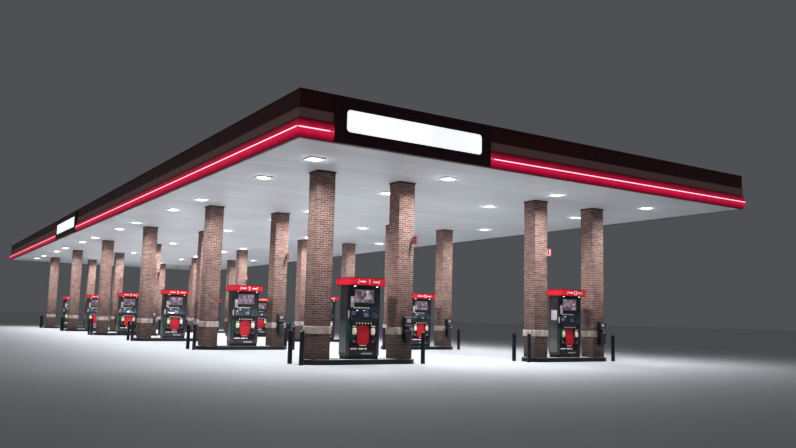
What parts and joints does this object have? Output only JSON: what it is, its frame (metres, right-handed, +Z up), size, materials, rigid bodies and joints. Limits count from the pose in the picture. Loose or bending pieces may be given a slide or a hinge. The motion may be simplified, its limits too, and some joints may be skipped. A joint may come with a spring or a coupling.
{
  "type": "filling station canopy, 1:2 scale model",
  "caption": "Long flat-roofed filling station canopy on square brick columns over pump islands, with a lit red half-round fascia edge. Scale model at 1:2.",
  "frame": {"origin": "on the ground, under the middle of the roof", "axes": "+X along the short front fascia, +Y along the long side fascia away from the front, +Z up"},
  "size_m": [9.618, 30.188, 3.5925],
  "materials": {
    "brick": "rough fired face brick in running bond",
    "cast_stone": "matt cast stone",
    "island_concrete": "broomed concrete",
    "black_enamel": "semi-gloss enamel on steel",
    "bronze_trim": "satin baked enamel",
    "grey_primer": "matt shop primer on steel",
    "white_deck": "satin coil-coated sheet",
    "galvanised": "spangled zinc",
    "maroon_panel": "satin composite panel",
    "grey_stripe": "satin film on panel",
    "red_nose": "translucent acrylic, lit from within",
    "led_strip": "diffusing cover over a row of lights",
    "sign_face": "satin enamel",
    "sign_opal": "opal acrylic, lit from within",
    "lamp_white": "smooth white enamel",
    "lamp_lens": "frosted glass, lit",
    "cabinet_grey": "powder-coated steel",
    "black_moulding": "fine-grained moulding",
    "printed_panel": "laminated printed face",
    "screen": "lit display under glass",
    "button_cap": "smooth moulded caps",
    "header_red": "back-lit acrylic",
    "flag_red": "gloss enamel"
  },
  "bodies": {
    "root": {"island_forms": "black_enamel", "island_slabs": "island_concrete", "bollards": "black_enamel", "steel_columns": "grey_primer", "stone_bands": "cast_stone", "column_collars": "bronze_trim", "main_beams": "grey_primer", "purlins": "galvanised", "deck_pans": "white_deck", "gutter": "white_deck", "fascia_frames": "galvanised", "fascia_front": "maroon_panel", "fascia_right": "maroon_panel", "fascia_back": "maroon_panel", "fascia_left": "maroon_panel", "fascia_coping": "maroon_panel", "fascia_stripes": "grey_stripe", "bullnose_front": "red_nose", "bullnose_right": "red_nose", "bullnose_back": "red_nose", "bullnose_left": "red_nose", "light_strips": "led_strip", "front_sign_cabinet": "sign_face", "side_sign_cabinet": "sign_face", "lamp_bezels": "lamp_white", "lamp_lenses": "lamp_lens", "lamp_drivers": "galvanised", "dispenser_plinths": "black_enamel", "dispenser_cabinets": "cabinet_grey", "dispenser_doors": "printed_panel", "dispenser_bezels": "black_moulding", "dispenser_screens": "screen", "dispenser_headers": "header_red", "nozzle_boots": "black_moulding", "nozzles": "black_moulding", "number_flags": "flag_red", "service_units": "black_moulding", "sign_pans": "sign_opal", "payment_units": "black_moulding", "grade_buttons": "button_cap", "brick_piers_line_1": "brick", "brick_piers_line_2": "brick", "brick_piers_line_3": "brick", "brick_piers_line_4": "brick"}
  },
  "joints": []
}
